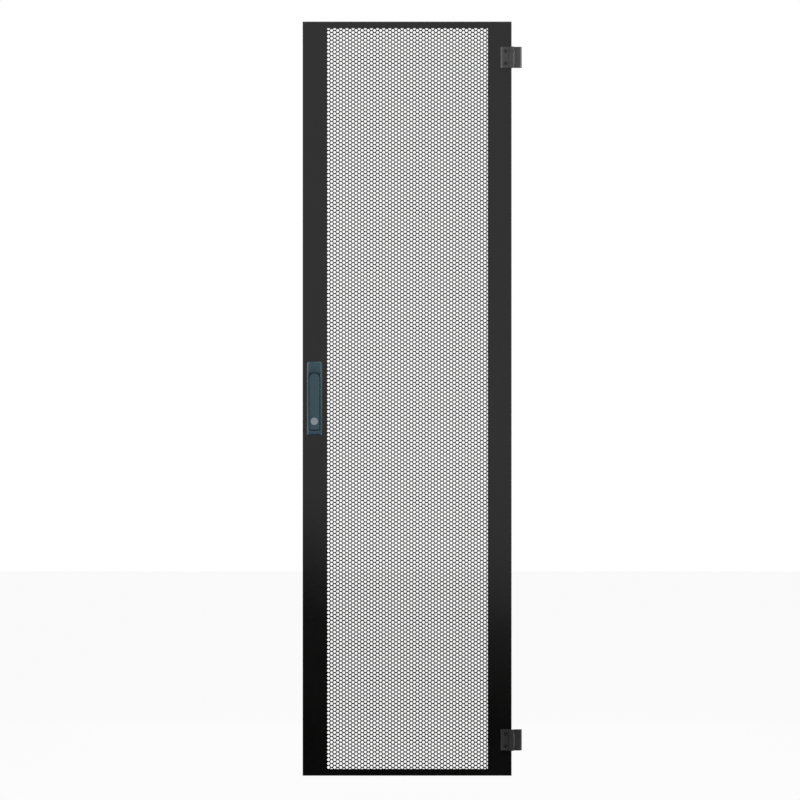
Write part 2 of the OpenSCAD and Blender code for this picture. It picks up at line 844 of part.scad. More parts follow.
module rod(side) {
  start = rack_end + slide_gap;
  color(steel_bright) set_side(side) difference() {
    behind(rod_front, rod_back) translate([-rack_mid - rod_w/2, start]) square([rod_w, rod_end(side) - 3 - start]);
    rivet_places() bar_y(rivet_r + 0.05, 0, fold_depth);
  }
}

module rod_rivets(side) {
  color(steel_bright) set_side(side) rivet_places() {
    bar_y(rivet_r, rod_front, teeth_back);
    bar_y(rivet_r + 1.3, rod_front - 1, rod_front);
    bar_y(rivet_r + 1.3, teeth_back, teeth_back + 1);
  }
}

// A nylon shoe on the rod's end, sloped so that it pulls the door shut behind its striker
module rod_tip(side) {
  far = rod_end(side);
  near = far - tip_h;
  back = fold_depth + tip_reach;
  shell = 1;
  color(nylon_black) set_side(side) translate([-rack_mid, 0, 0]) difference() {
    across(-rod_w/2 - shell, rod_w/2 + shell) polygon([
      [rod_front - 2, near], [rod_front - 2, far], [back - 5, far], [back, far - 9], [back, near + 4],
      [rod_back + 3, near]
    ]);
    behind(rod_front - 0.02, rod_back + 0.02)
      translate([-rod_w/2 - 0.02, near - cut]) square([rod_w + 0.04, tip_h + cut - 3 + 0.02]);
  }
}

module upper_rack() { rack(1); }
module upper_rod() { rod(1); }
module upper_rod_rivet() { rod_rivets(1); }
module upper_rod_tip() { rod_tip(1); }
module lower_rack() { rack(-1); }
module lower_rod() { rod(-1); }
module lower_rod_rivet() { rod_rivets(-1); }
module lower_rod_tip() { rod_tip(-1); }

// ---- Rod guides -------------------------------------------------------------------

guide_h = 24;
guide_wall = 2.4;
guide_stud_x = 18;
lug_back = 8;
upper_near = 200;
lower_near = 260;
end_back_off = 90;

module rod_guide(side, z) {
  half = rod_w/2 + slide_gap + guide_wall;
  color(nylon_black) set_side(side) translate([-rack_mid, 0, z]) difference() {
    union() {
      translate([0, 0, 0]) behind(sheet_t, rod_back + guide_wall) round_rect(2*half, guide_h, 2);
      behind(sheet_t, lug_back) translate([guide_stud_x/2 + 2, 0]) round_rect(guide_stud_x + 6, guide_h - 6, 4);
    }
    behind(rod_front - slide_gap, rod_back + slide_gap)
      square([rod_w + 2*slide_gap, guide_h + cut], center = true);
    translate([guide_stud_x, 0, 0]) bar_y(stud_r + 0.1, 0, fold_depth);
  }
}

module guide_places() {
  for (side = [-1, 1], z = [side > 0 ? upper_near : lower_near, rod_end(side) - end_back_off])
    set_side(side) translate([-rack_mid + guide_stud_x, 0, z]) children();
}

module upper_rod_guide() { rod_guide(1, upper_near); }
module upper_end_guide() { rod_guide(1, rod_end(1) - end_back_off); }
module lower_rod_guide() { rod_guide(-1, lower_near); }
module lower_end_guide() { rod_guide(-1, rod_end(-1) - end_back_off); }

module guide_studs() {
  color(steel_bright) guide_places() bar_y(stud_r, sheet_t, stud_back - 2);
}

module guide_nuts() {
  color(steel_bright) guide_places() difference() {
    union() {
      bar_y(stud_r + 2.5, lug_back, lug_back + 0.8);
      hex_y(8, lug_back + 0.8, lug_back + 4);
    }
    bar_y(stud_r + 0.05, 0, fold_depth);
  }
}

// ---- The model --------------------------------------------------------------------

door_frame();
mesh_panel();
left_channel();
right_channel();
top_angle();
bottom_angle();
earth_stud();
earth_nut();
door_bumpers();
upper_door_leaf();
upper_frame_leaf();
upper_hinge_pin();
upper_hinge_washers();
upper_hinge_plate();
upper_hinge_screws();
lower_door_leaf();
lower_frame_leaf();
lower_hinge_pin();
lower_hinge_washers();
lower_hinge_plate();
lower_hinge_screws();
handle_gasket();
handle_housing();
handle_hub();
lever_pin();
handle_lever();
lock_sleeve();
lock_plug();
lock_cam();
handle_clamp();
clamp_screw();
gearbox_base();
gearbox_cover();
gearbox_screws();
pinion();
spindle_screw();
upper_rack();
upper_rod();
upper_rod_rivet();
upper_rod_tip();
lower_rack();
lower_rod();
lower_rod_rivet();
lower_rod_tip();
upper_rod_guide();
upper_end_guide();
lower_rod_guide();
lower_end_guide();
guide_studs();
guide_nuts();
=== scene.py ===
import json
import math
import bpy
import bmesh
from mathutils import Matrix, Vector


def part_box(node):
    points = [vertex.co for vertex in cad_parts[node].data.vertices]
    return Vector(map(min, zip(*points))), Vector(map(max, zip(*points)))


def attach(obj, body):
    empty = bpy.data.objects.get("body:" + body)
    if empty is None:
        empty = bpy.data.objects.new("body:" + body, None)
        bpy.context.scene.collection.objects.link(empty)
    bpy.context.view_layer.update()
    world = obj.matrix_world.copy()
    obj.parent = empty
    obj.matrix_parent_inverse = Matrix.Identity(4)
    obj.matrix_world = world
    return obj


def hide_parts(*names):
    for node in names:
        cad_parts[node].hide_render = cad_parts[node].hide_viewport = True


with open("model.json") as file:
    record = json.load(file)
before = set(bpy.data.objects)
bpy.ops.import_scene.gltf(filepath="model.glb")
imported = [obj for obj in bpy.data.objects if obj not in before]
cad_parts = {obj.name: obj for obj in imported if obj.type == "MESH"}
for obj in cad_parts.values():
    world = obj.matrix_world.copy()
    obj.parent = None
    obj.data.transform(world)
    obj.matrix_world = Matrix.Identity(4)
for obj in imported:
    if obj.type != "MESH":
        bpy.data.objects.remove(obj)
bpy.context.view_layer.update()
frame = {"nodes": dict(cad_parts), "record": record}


print("frame loaded:", len(frame["nodes"]), "nodes")

scene = bpy.context.scene
scene.view_settings.view_transform = "Standard"
mm = 0.001
weldGap = 0.01 * mm  # vertices that lie closer are merged

doorLow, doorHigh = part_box("door_frame")
sheetLow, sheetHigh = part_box("mesh_panel")
doorMid = (doorLow + doorHigh) / 2

camera = {
    "lens": 150,  # long, so that the door shows almost no perspective
    "sensor": 36,
    "viewWidth": 2.105,  # width of the view at the door's front face
    "aimX": doorMid.x - 0.0187,  # the door stands a little to the right in the view
    "aimZ": doorMid.z - 0.0036,
    "clipEnd": 100,
}


def makeCamera():
    data = bpy.data.cameras.new("camera")
    data.lens = camera["lens"]
    data.sensor_width = camera["sensor"]
    data.clip_end = camera["clipEnd"]
    eye = bpy.data.objects.new("camera", data)
    distance = camera["viewWidth"] * camera["lens"] / camera["sensor"]
    eye.location = (camera["aimX"], doorLow.y - distance, camera["aimZ"])
    eye.rotation_euler = (math.pi / 2, 0, 0)
    scene.collection.objects.link(eye)
    scene.camera = eye


makeCamera()
print("camera set")


def newGroup(name, inputs, outputs):
    group = bpy.data.node_groups.new(name, "ShaderNodeTree")
    for socketName, kind, value in inputs:
        socket = group.interface.new_socket(socketName, in_out="INPUT", socket_type=kind)
        socket.default_value = value
    for socketName, kind in outputs:
        group.interface.new_socket(socketName, in_out="OUTPUT", socket_type=kind)
    return group, group.nodes.new("NodeGroupInput"), group.nodes.new("NodeGroupOutput")


def coatGrainGroup():
    # orange peel of a powder coat, and slow patches over a whole piece
    group, start, end = newGroup(
        "coatGrain",
        [("Scale", "NodeSocketFloat", 900.0), ("Patch Scale", "NodeSocketFloat", 5.0)],
        [("Height", "NodeSocketFloat"), ("Patches", "NodeSocketFloat")],
    )
    links = group.links
    where = group.nodes.new("ShaderNodeTexCoord")
    peel = group.nodes.new("ShaderNodeTexNoise")
    peel.inputs["Detail"].default_value = 3
    peel.inputs["Roughness"].default_value = 0.55
    links.new(where.outputs["Object"], peel.inputs["Vector"])
    links.new(start.outputs["Scale"], peel.inputs["Scale"])
    patches = group.nodes.new("ShaderNodeTexNoise")
    patches.inputs["Detail"].default_value = 4
    links.new(where.outputs["Object"], patches.inputs["Vector"])
    links.new(start.outputs["Patch Scale"], patches.inputs["Scale"])
    links.new(peel.outputs["Fac"], end.inputs["Height"])
    links.new(patches.outputs["Fac"], end.inputs["Patches"])
    return group


def brushedGroup():
    # fine drawn lines along the height, with faint blotches of the plating
    group, start, end = newGroup(
        "brushedLines",
        [("Scale", "NodeSocketFloat", 300.0), ("Blotch Scale", "NodeSocketFloat", 45.0)],
        [("Lines", "NodeSocketFloat"), ("Blotches", "NodeSocketFloat")],
    )
    links = group.links
    where = group.nodes.new("ShaderNodeTexCoord")
    stretch = group.nodes.new("ShaderNodeMapping")
    stretch.inputs["Scale"].default_value = (1.0, 1.0, 0.03)  # draws the grain out along Z
    links.new(where.outputs["Object"], stretch.inputs["Vector"])
    lines = group.nodes.new("ShaderNodeTexNoise")
    lines.inputs["Detail"].default_value = 2
    links.new(stretch.outputs["Vector"], lines.inputs["Vector"])
    links.new(start.outputs["Scale"], lines.inputs["Scale"])
    blotches = group.nodes.new("ShaderNodeTexNoise")
    blotches.inputs["Detail"].default_value = 5
    links.new(where.outputs["Object"], blotches.inputs["Vector"])
    links.new(start.outputs["Blotch Scale"], blotches.inputs["Scale"])
    links.new(lines.outputs["Fac"], end.inputs["Lines"])
    links.new(blotches.outputs["Fac"], end.inputs["Blotches"])
    return group


coatGrain = coatGrainGroup()
brushedLines = brushedGroup()


def newMaterial(name):
    material = bpy.data.materials.new(name)
    material.use_nodes = True
    return material, material.node_tree, material.node_tree.nodes["Principled BSDF"]


def placeGroup(tree, group, values):
    node = tree.nodes.new("ShaderNodeGroup")
    node.node_tree = group
    for name, value in values.items():
        node.inputs[name].default_value = value
    return node


def rampBetween(tree, factor, low, high, start=0.3, end=0.7):
    # two colours over the range where most of a noise lies
    ramp = tree.nodes.new("ShaderNodeValToRGB")
    ramp.color_ramp.elements[0].position = start
    ramp.color_ramp.elements[1].position = end
    ramp.color_ramp.elements[0].color = (*low, 1)
    ramp.color_ramp.elements[1].color = (*high, 1)
    tree.links.new(factor, ramp.inputs["Fac"])
    return ramp.outputs["Color"]


def spread(tree, factor, low, high, start=0.25, end=0.75):
    node = tree.nodes.new("ShaderNodeMapRange")
    node.inputs["From Min"].default_value = start
    node.inputs["From Max"].default_value = end
    node.inputs["To Min"].default_value = low
    node.inputs["To Max"].default_value = high
    tree.links.new(factor, node.inputs["Value"])
    return node.outputs["Result"]


def bumpFrom(tree, height, strength, distance):
    bump = tree.nodes.new("ShaderNodeBump")
    bump.inputs["Strength"].default_value = strength
    bump.inputs["Distance"].default_value = distance
    tree.links.new(height, bump.inputs["Height"])
    return bump.outputs["Normal"]


powderCoat = {
    "dark": (0.0026, 0.0025, 0.0024),
    "light": (0.0040, 0.0038, 0.0036),
    "roughness": (0.25, 0.31),
    "grainScale": 850,
    "bump": 0.22,
    "bumpDepth": 0.06 * mm,
}
hingeCoat = {
    "dark": (0.034, 0.033, 0.0335),
    "light": (0.043, 0.042, 0.0425),
    "roughness": (0.26, 0.34),
    "grainScale": 1500,
    "bump": 0.15,
    "bumpDepth": 0.04 * mm,
}
handlePlastic = {
    "dark": (0.020, 0.064, 0.086),
    "light": (0.025, 0.074, 0.098),
    "roughness": (0.36, 0.46),
    "grainScale": 2200,
    "bump": 0.18,
    "bumpDepth": 0.04 * mm,
}
blackNylon = {
    "dark": (0.008, 0.008, 0.0085),
    "light": (0.013, 0.013, 0.0135),
    "roughness": (0.42, 0.55),
    "grainScale": 1800,
    "bump": 0.2,
    "bumpDepth": 0.04 * mm,
}
blackRubber = {
    "dark": (0.006, 0.006, 0.006),
    "light": (0.011, 0.011, 0.011),
    "roughness": (0.7, 0.85),
    "grainScale": 1200,
    "bump": 0.3,
    "bumpDepth": 0.06 * mm,
}
zincPlate = {
    "dark": (0.42, 0.43, 0.44),
    "light": (0.56, 0.56, 0.54),
    "roughness": (0.24, 0.40),
    "lineScale": 700,
    "bump": 0.12,
    "bumpDepth": 0.03 * mm,
}
satinNickel = {
    "dark": (0.30, 0.36, 0.39),
    "light": (0.38, 0.44, 0.47),
    "roughness": (0.30, 0.42),
    "lineScale": 1400,
    "bump": 0.10,
    "bumpDepth": 0.02 * mm,
}


def dress(tree, shader, look, tone, shine, height):
    # colour, roughness and bump of a look, each led by a pattern of its group
    colour = rampBetween(tree, tone, look["dark"], look["light"])
    roughness = spread(tree, shine, *look["roughness"])
    normal = bumpFrom(tree, height, look["bump"], look["bumpDepth"])
    tree.links.new(colour, shader.inputs["Base Color"])
    tree.links.new(roughness, shader.inputs["Roughness"])
    tree.links.new(normal, shader.inputs["Normal"])


def coated(name, look):
    material, tree, shader = newMaterial(name)
    grain = placeGroup(tree, coatGrain, {"Scale": look["grainScale"]})
    patches = grain.outputs["Patches"]
    dress(tree, shader, look, patches, patches, grain.outputs["Height"])
    return material


def plated(name, look):
    material, tree, shader = newMaterial(name)
    shader.inputs["Metallic"].default_value = 1.0
    brushed = placeGroup(tree, brushedLines, {"Scale": look["lineScale"]})
    lines = brushed.outputs["Lines"]
    dress(tree, shader, look, brushed.outputs["Blotches"], lines, lines)
    return material


finishes = {
    "powder_steel": coated("powderCoat", powderCoat),
    "hinge_black": coated("hingeCoat", hingeCoat),
    "handle_plastic": coated("handlePlastic", handlePlastic),
    "black_nylon": coated("blackNylon", blackNylon),
    "black_rubber": coated("blackRubber", blackRubber),
    "zinc_steel": plated("zincPlate", zincPlate),
    "lock_metal": plated("satinNickel", satinNickel),
}


def finishNodes():
    slotOf = {part["node"]: part["material_slot"] for part in frame["record"]["subparts"]}
    for name, node in frame["nodes"].items():
        node.data.materials.clear()
        node.data.materials.append(finishes[slotOf[name]])


finishNodes()
print("materials set")


def selectNothing():
    if bpy.context.mode != "OBJECT":
        bpy.ops.object.mode_set(mode="OBJECT")
    bpy.ops.object.select_all(action="DESELECT")


def selectOnly(obj):
    selectNothing()
    bpy.context.view_layer.objects.active = obj
    obj.select_set(True)


def pickVerts(obj, wanted):
    # selects the vertices that a test accepts, from edit mode
    bpy.ops.mesh.select_mode(type="VERT")
    mesh = bmesh.from_edit_mesh(obj.data)
    for vert in mesh.verts:
        vert.select = wanted(vert.co)
    mesh.select_flush_mode()
    bmesh.update_edit_mesh(obj.data)


def applyModifiers(obj):
    selectOnly(obj)
    for modifier in list(obj.modifiers):
        bpy.ops.object.modifier_apply(modifier=modifier.name)


def settle(obj):
    # the object goes to the origin, and its place goes into its mesh
    selectOnly(obj)
    bpy.ops.object.transform_apply(location=True, rotation=True, scale=True)


def mergeAndFaceOut(gap):
    # leaves edit mode with one closed surface
    bpy.ops.mesh.select_all(action="SELECT")
    bpy.ops.mesh.remove_doubles(threshold=gap)
    bpy.ops.mesh.normals_make_consistent(inside=False)
    bpy.ops.object.mode_set(mode="OBJECT")


def joinPieces(parts, name):
    selectNothing()
    for part in parts:
        part.select_set(True)
    bpy.context.view_layer.objects.active = parts[0]
    bpy.ops.object.join()
    parts[0].name = name
    return parts[0]


def finishPiece(obj, body, slotName):
    obj.data.materials.clear()
    obj.data.materials.append(finishes[slotName])
    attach(obj, body)


sheet = {
    "columns": 53,
    "rowsPerBand": 48,
    "bands": 4,
    "pitchX": 8.07 * mm,
    "pitchZ": 10.18 * mm,
    "hole": 7.3 * mm,
    "corners": 8,  # sides of a hole, which is given the area of a round one
    "firstColumn": 5.7 * mm,  # from the window's left edge
    "firstRow": 1.13 * mm,  # from the window's top edge, in the first column
    "lap": 8 * mm,  # how far the sheet goes behind the frame
}
sheetThick = sheetHigh.y - sheetLow.y
windowLeft = sheetLow.x + sheet["lap"]
windowTop = sheetHigh.z - sheet["lap"]


def holeCell(name):
    # one flat cell with its hole: a ring whose outer loop is pulled out to a rectangle
    halfX, halfZ = sheet["pitchX"] / 2, sheet["pitchZ"] / 2
    turn = 2 * math.pi / sheet["corners"]
    radius = sheet["hole"] / 2 * math.sqrt(turn / math.sin(turn))
    selectNothing()
    bpy.ops.mesh.primitive_circle_add(vertices=sheet["corners"], radius=radius, fill_type="NOTHING")
    cell = bpy.context.object
    cell.name = name
    bpy.ops.object.mode_set(mode="EDIT")
    bpy.ops.mesh.select_all(action="SELECT")
    bpy.ops.mesh.extrude_edges_move(TRANSFORM_OT_translate={"value": (0, 0, 0)})
    bpy.ops.transform.resize(value=(halfX / radius, halfZ / radius, 1), center_override=(0, 0, 0))
    slant = math.sqrt(2)  # what takes the slanting points of the outer loop to the corners
    inside = 0.99 / slant
    pickVerts(cell, lambda p: abs(p.x) > inside * halfX and abs(p.y) > inside * halfZ)
    bpy.ops.transform.resize(value=(slant, slant, 1), center_override=(0, 0, 0))
    bpy.ops.mesh.select_all(action="SELECT")
    bpy.ops.mesh.normals_make_consistent(inside=False)
    bpy.ops.object.mode_set(mode="OBJECT")
    return cell


def repeat(obj, offset, count):
    array = obj.modifiers.new("repeat", "ARRAY")
    array.use_relative_offset = False
    array.use_constant_offset = True
    array.constant_offset_displace = offset
    array.count = count
    array.use_merge_vertices = True
    array.merge_threshold = weldGap


def columnSet(name, startX, startZ, count, rows):
    # every second column of one band, drawn in X and Y and stood up when the band is done
    cell = holeCell(name)
    cell.location = (startX, startZ, 0)
    settle(cell)
    repeat(cell, (0, -sheet["pitchZ"], 0), rows)
    repeat(cell, (2 * sheet["pitchX"], 0, 0), count)
    applyModifiers(cell)
    return cell


def sheetBand(index):
    columns, rows = sheet["columns"], sheet["rowsPerBand"]
    top = windowTop - sheet["firstRow"] - index * rows * sheet["pitchZ"]
    left = windowLeft + sheet["firstColumn"]
    even = columnSet("evenColumns", left, top, (columns + 1) // 2, rows)
    oddLeft, oddTop = left + sheet["pitchX"], top - sheet["pitchZ"] / 2
    odd = columnSet("oddColumns", oddLeft, oddTop, columns // 2, rows)
    band = joinPieces([even, odd], f"perforated_sheet_{index + 1}")
    bpy.ops.object.mode_set(mode="EDIT")
    mergeAndFaceOut(weldGap)
    return band


def standUp(obj):
    # from the flat drawing to the plane of the sheet, then given its thickness
    obj.rotation_euler = (math.pi / 2, 0, 0)
    obj.location = (0, sheetLow.y + sheetThick / 2, 0)
    settle(obj)
    wall = obj.modifiers.new("thickness", "SOLIDIFY")
    wall.thickness = sheetThick
    wall.offset = 0
    applyModifiers(obj)


def flatPatch(name, x0, x1, z0, z1):
    selectNothing()
    bpy.ops.mesh.primitive_plane_add(size=1, location=((x0 + x1) / 2, (z0 + z1) / 2, 0))
    patch = bpy.context.object
    patch.name = name
    patch.scale = (x1 - x0, z1 - z0, 1)
    settle(patch)
    return patch


def halfCells(name, x0, z0, count):
    # half cells at the end of every second column
    patch = flatPatch(name, x0, x0 + sheet["pitchX"], z0, z0 + sheet["pitchZ"] / 2)
    repeat(patch, (2 * sheet["pitchX"], 0, 0), count)
    applyModifiers(patch)
    return patch


def sheetMargin():
    # the plain rim behind the frame, with the half cells that even out the staggered ends
    pitchX, pitchZ, columns = sheet["pitchX"], sheet["pitchZ"], sheet["columns"]
    rows = sheet["rowsPerBand"] * sheet["bands"]
    left = windowLeft + sheet["firstColumn"] - pitchX / 2
    right = left + columns * pitchX
    top = windowTop - sheet["firstRow"] + pitchZ / 2
    bottom = top - rows * pitchZ - pitchZ / 2
    patches = [
        flatPatch("leftStrip", sheetLow.x, left, sheetLow.z, sheetHigh.z),
        flatPatch("rightStrip", right, sheetHigh.x, sheetLow.z, sheetHigh.z),
        flatPatch("topStrip", left, right, top, sheetHigh.z),
        flatPatch("bottomStrip", left, right, sheetLow.z, bottom),
        halfCells("topHalf", left + pitchX, top - pitchZ / 2, columns // 2),
        halfCells("bottomHalf", left, bottom, (columns + 1) // 2),
    ]
    return joinPieces(patches, "perforated_sheet_rim")


def perforatedSheet():
    bands = [sheetBand(index) for index in range(sheet["bands"])]
    for band in bands + [sheetMargin()]:
        standUp(band)
        finishPiece(band, "door", "powder_steel")
        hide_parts("mesh_panel")


perforatedSheet()
print("perforated sheet made")

housing = {  # in millimetres from the turning axis; a depth is negative in front of the door
    "side": 20.0,
    "top": 43.6,
    "foot": 150.5,  # radius of the arc at the lower end
    "footSpare": 3.0,  # length of the blank below that arc
    "corner": 4.5,
    "rimSide": 4.6,  # width of the sloped rim, seen from the front
    "rimEnd": 2.8,
    "topDraft": 1.2,  # how far the raised top draws in above the rim
    "back": -1.0,
    "slopeStart": -1.9,
    "rim": -5.3,
    "front": -15.8,
    "crest": -11.8,
    "crestFrom": 14.8,  # the raised top starts above the lever's swing
    "endBlock": 138.0,  # radius where the raised block at the lower end starts
    "arch": 15.4,
    "recessFoot": -137.1,
    "floor": -3.0,
    "bodySide": 15.0,
    "bodyTop": 37.6,
    "bodyFoot": -110.0,
    "bodyBack": 7.0,
    "bodyCorner": 3.5,
    "bodyLap": 0.4,  # how far the body goes into the shell
    "tongueSide": 14.9,
    "tongueTop": 35.6,
    "tongueFoot": -128.5,
    "tongueBack": 1.3,
    "pocketSide": 13.0,
    "pocketTop": -39.0,
    "pocketFoot": -97.0,
    "pocketFloor": 5.0,
    "pocketMouth": -20.0,
    "pocketCorner": 6.0,
    "pocketDraft": 0.8,
    "hubBore": 10.05,
    "lock": -113.0,
    "camReach": 26.8,
    "camFront": -7.6,
    "camBack": -5.5,
    "edge": 0.35,  # radius of the moulded edges
    "ahead": -30.0,  # depth where the cutters end, in front of everything
    "past": 10.0,  # how far a cutter goes beyond what it cuts
    "weld": 0.001,
    "longArc": 240,  # sides of the wide circles that cut both ends
    "archArc": 96,
}
lowLever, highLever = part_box("handle_lever")
leverHalf = (highLever.x - lowLever.x) / 2
pivot = Vector((lowLever.x + leverHalf, 0, highLever.z - leverHalf))


def place(obj):
    # from a flat drawing about the turning axis, its height towards the viewer, to the door
    obj.rotation_euler = (math.pi / 2, 0, 0)
    obj.location = pivot
    obj.scale = (mm, mm, mm)
    settle(obj)
    return obj


def straight(back, front):
    return [(back, 0, 0), (front, 0, 0)]


def raiseLevels(levels, halfX, halfZ, centre):
    # the selected flat face is raised level by level, drawn in by the insets of each level
    depth, insetX, insetZ = levels[0]
    for nextDepth, nextX, nextZ in levels[1:]:
        rise = (0, 0, depth - nextDepth)
        bpy.ops.mesh.extrude_region_move(TRANSFORM_OT_translate={"value": rise})
        scaleX = (halfX - nextX) / (halfX - insetX)
        scaleZ = (halfZ - nextZ) / (halfZ - insetZ)
        bpy.ops.transform.resize(value=(scaleX, scaleZ, 1), center_override=centre)
        depth, insetX, insetZ = nextDepth, nextX, nextZ


def block(name, x0, x1, z0, z1, corner, levels, segments=6):
    # a slab with round corners whose sides slope as its levels say
    selectNothing()
    centre = ((x0 + x1) / 2, (z0 + z1) / 2, -levels[0][0])
    bpy.ops.mesh.primitive_plane_add(size=1, location=centre)
    obj = bpy.context.object
    obj.name = name
    obj.scale = (x1 - x0, z1 - z0, 1)
    settle(obj)
    bpy.ops.object.mode_set(mode="EDIT")
    bpy.ops.mesh.select_all(action="SELECT")
    if corner:
        bpy.ops.mesh.bevel(offset=corner, segments=segments, affect="VERTICES")
        bpy.ops.mesh.select_all(action="SELECT")
    raiseLevels(levels, (x1 - x0) / 2, (z1 - z0) / 2, centre)
    mergeAndFaceOut(housing["weld"])
    return place(obj)


def drum(name, radius, levels, z=0, sides=64):
    # a round piece about an axis that points at the viewer
    selectNothing()
    centre = (0, z, -levels[0][0])
    bpy.ops.mesh.primitive_circle_add(vertices=sides, radius=radius, fill_type="NGON", location=centre)
    obj = bpy.context.object
    obj.name = name
    settle(obj)
    bpy.ops.object.mode_set(mode="EDIT")
    bpy.ops.mesh.select_all(action="SELECT")
    raiseLevels(levels, radius, radius, centre)
    mergeAndFaceOut(housing["weld"])
    return place(obj)


def combine(obj, tool, operation):
    boolean = obj.modifiers.new("combine", "BOOLEAN")
    boolean.operation = operation
    boolean.solver = "EXACT"
    boolean.object = tool
    applyModifiers(obj)
    bpy.data.objects.remove(tool)


def softenEdges(obj, width, segments=2, roundFrom=35, smoothBelow=32):
    bevel = obj.modifiers.new("edges", "BEVEL")
    bevel.width = width
    bevel.segments = segments
    bevel.limit_method = "ANGLE"
    bevel.angle_limit = math.radians(roundFrom)
    bevel.use_clamp_overlap = True
    applyModifiers(obj)
    bpy.ops.object.shade_smooth_by_angle(angle=math.radians(smoothBelow))


def outerShell(h):
    # the outer form, whose lower end is an arc about the turning axis
    side = h["side"]
    draftX, draftZ = h["rimSide"] + h["topDraft"], h["rimEnd"] + h["topDraft"]
    sloped = [
        (h["back"], 0, 0),
        (h["slopeStart"], 0, 0),
        (h["rim"], h["rimSide"], h["rimEnd"]),
        (h["front"], draftX, draftZ),
    ]
    foot = -h["foot"] - h["footSpare"]
    shell = block("handle_housing_shell", -side, side, foot, h["top"], h["corner"], sloped, 8)
    arcs = [(depth, inset, inset) for depth, _, inset in sloped]
    combine(shell, drum("footArc", h["foot"], arcs, sides=h["longArc"]), "INTERSECT")
    return shell


def cutToRim(shell, h):
    # the middle goes down to the rim, between the end block's arc and the raised top
    ahead, past = h["ahead"], h["past"]
    wide = h["endBlock"] + past
    middle = drum("middleCut", h["endBlock"], straight(h["rim"], ahead), sides=h["longArc"])
    levels = straight(h["rim"] + past, ahead - past)
    combine(middle, block("middleTop", -wide, wide, h["crestFrom"], wide, 0, levels), "DIFFERENCE")
    combine(shell, middle, "DIFFERENCE")
    side, top = h["side"] + past, h["top"] + past
    crest = block("crestCut", -side, side, 0, top, 0, straight(h["crest"], ahead))
    combine(shell, crest, "DIFFERENCE")


def cutRecess(shell, h):
    # round the lever, with an arch about the turning axis
    arch, levels = h["arch"], straight(h["floor"], h["ahead"])
    combine(shell, drum("archCut", arch, levels, sides=h["archArc"]), "DIFFERENCE")
    combine(shell, block("recessCut", -arch, arch, h["recessFoot"], 0, 0, levels), "DIFFERENCE")


def addBody(shell, h):
    # the part that sinks into the door, with the finger pocket, the hub's bore and the cam's slot
    lap, corner = h["back"] - h["bodyLap"], h["bodyCorner"]
    for name in ("body", "tongue"):
        side, foot, top = h[name + "Side"], h[name + "Foot"], h[name + "Top"]
        levels = straight(h[name + "Back"], lap)
        combine(shell, block(name, -side, side, foot, top, corner, levels), "UNION")
    half, draft = h["pocketSide"], h["pocketDraft"]
    tapered = [(h["pocketFloor"], draft, draft), (h["pocketMouth"], 0, 0)]
    pocket = block("pocket", -half, half, h["pocketFoot"], h["pocketTop"], h["pocketCorner"], tapered)
    combine(shell, pocket, "DIFFERENCE")
    through = straight(h["bodyBack"] + h["past"], h["ahead"])
    combine(shell, drum("hubBore", h["hubBore"], through), "DIFFERENCE")
    slot = straight(h["camBack"], h["camFront"])
    combine(shell, drum("camSlot", h["camReach"], slot, z=h["lock"]), "DIFFERENCE")


def handleHousing():
    shell = outerShell(housing)
    cutToRim(shell, housing)
    cutRecess(shell, housing)
    addBody(shell, housing)
    softenEdges(shell, housing["edge"] * mm)
    finishPiece(shell, "door", "handle_plastic")
    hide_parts("handle_housing")


handleHousing()
print("handle housing made")

studio = {
    "frontSize": (3.0, 2.6),
    "frontStrength": 0.74,  # radiance of the large front panel, where white is 1
    "frontDistance": 1.25,
    "frontEdge": 0.452,  # height of the panel's lower edge above the door's foot
    "frontTilt": 17,  # degrees that the lower edge rises towards the left
    "sideSize": (0.7, 1.7),
    "sideStrength": 2.2,
    "sideReach": 1.7,  # to the left and the right of the door's middle
    "sideForward": 0.2,
    "sideRaise": 0.45,
    "topSize": (1.4, 0.4),
    "topStrength": 5.0,
    "topForward": 0.22,
    "topRaise": 0.7,  # above the door's upper edge
    "topAim": -0.05,  # depth of the spot on the door that the strip points at
    "backSize": (2.4, 2.4),
    "backStrength": 0.6,
    "backDistance": 2.2,
    "backRaise": 0.3,
    "worldDiffuse": 0.32,
    "worldTurn": (-0.55, -0.1),  # slant of a reflection, from the dark to the white half
    "darkFront": 0.0,  # what a reflection shows of the dark half of the room
    "floorTurn": (-0.25, 0.1),  # depth where the floor turns white in a reflection
    "floorSize": 24,
    "floorDrop": 0.08,  # below the door's lowest edge
    "floorPaint": (0.9, 0.9, 0.9, 1),
    "floorRoughness": 0.9,
    "floorGlow": 0.93,  # share of plain white, the rest shows the shadow
}


def areaLight(name, place, aim, size, radiance):
    width, height = size
    data = bpy.data.lights.new(name, "AREA")
    data.shape = "RECTANGLE"
    data.size = width
    data.size_y = height
    data.energy = radiance * math.pi * width * height
    light = bpy.data.objects.new(name, data)
    light.location = place
    light.rotation_euler = (Vector(aim) - Vector(place)).to_track_quat("-Z", "Y").to_euler()
    light.visible_camera = False
    scene.collection.objects.link(light)
    return light


def frontPanel():
    # turned a little in its own plane, so that its fade runs aslant over the door
    size, tilt = studio["frontSize"], math.radians(studio["frontTilt"])
    x = doorMid.x + math.sin(tilt) * size[1] / 2
    z = doorLow.z + studio["frontEdge"] + math.cos(tilt) * size[1] / 2
    place = Vector((x, doorLow.y - studio["frontDistance"], z))
    panel = areaLight("frontPanel", place, place + Vector((0, 1, 0)), size, studio["frontStrength"])
    panel.rotation_euler.rotate_axis("Z", -tilt)


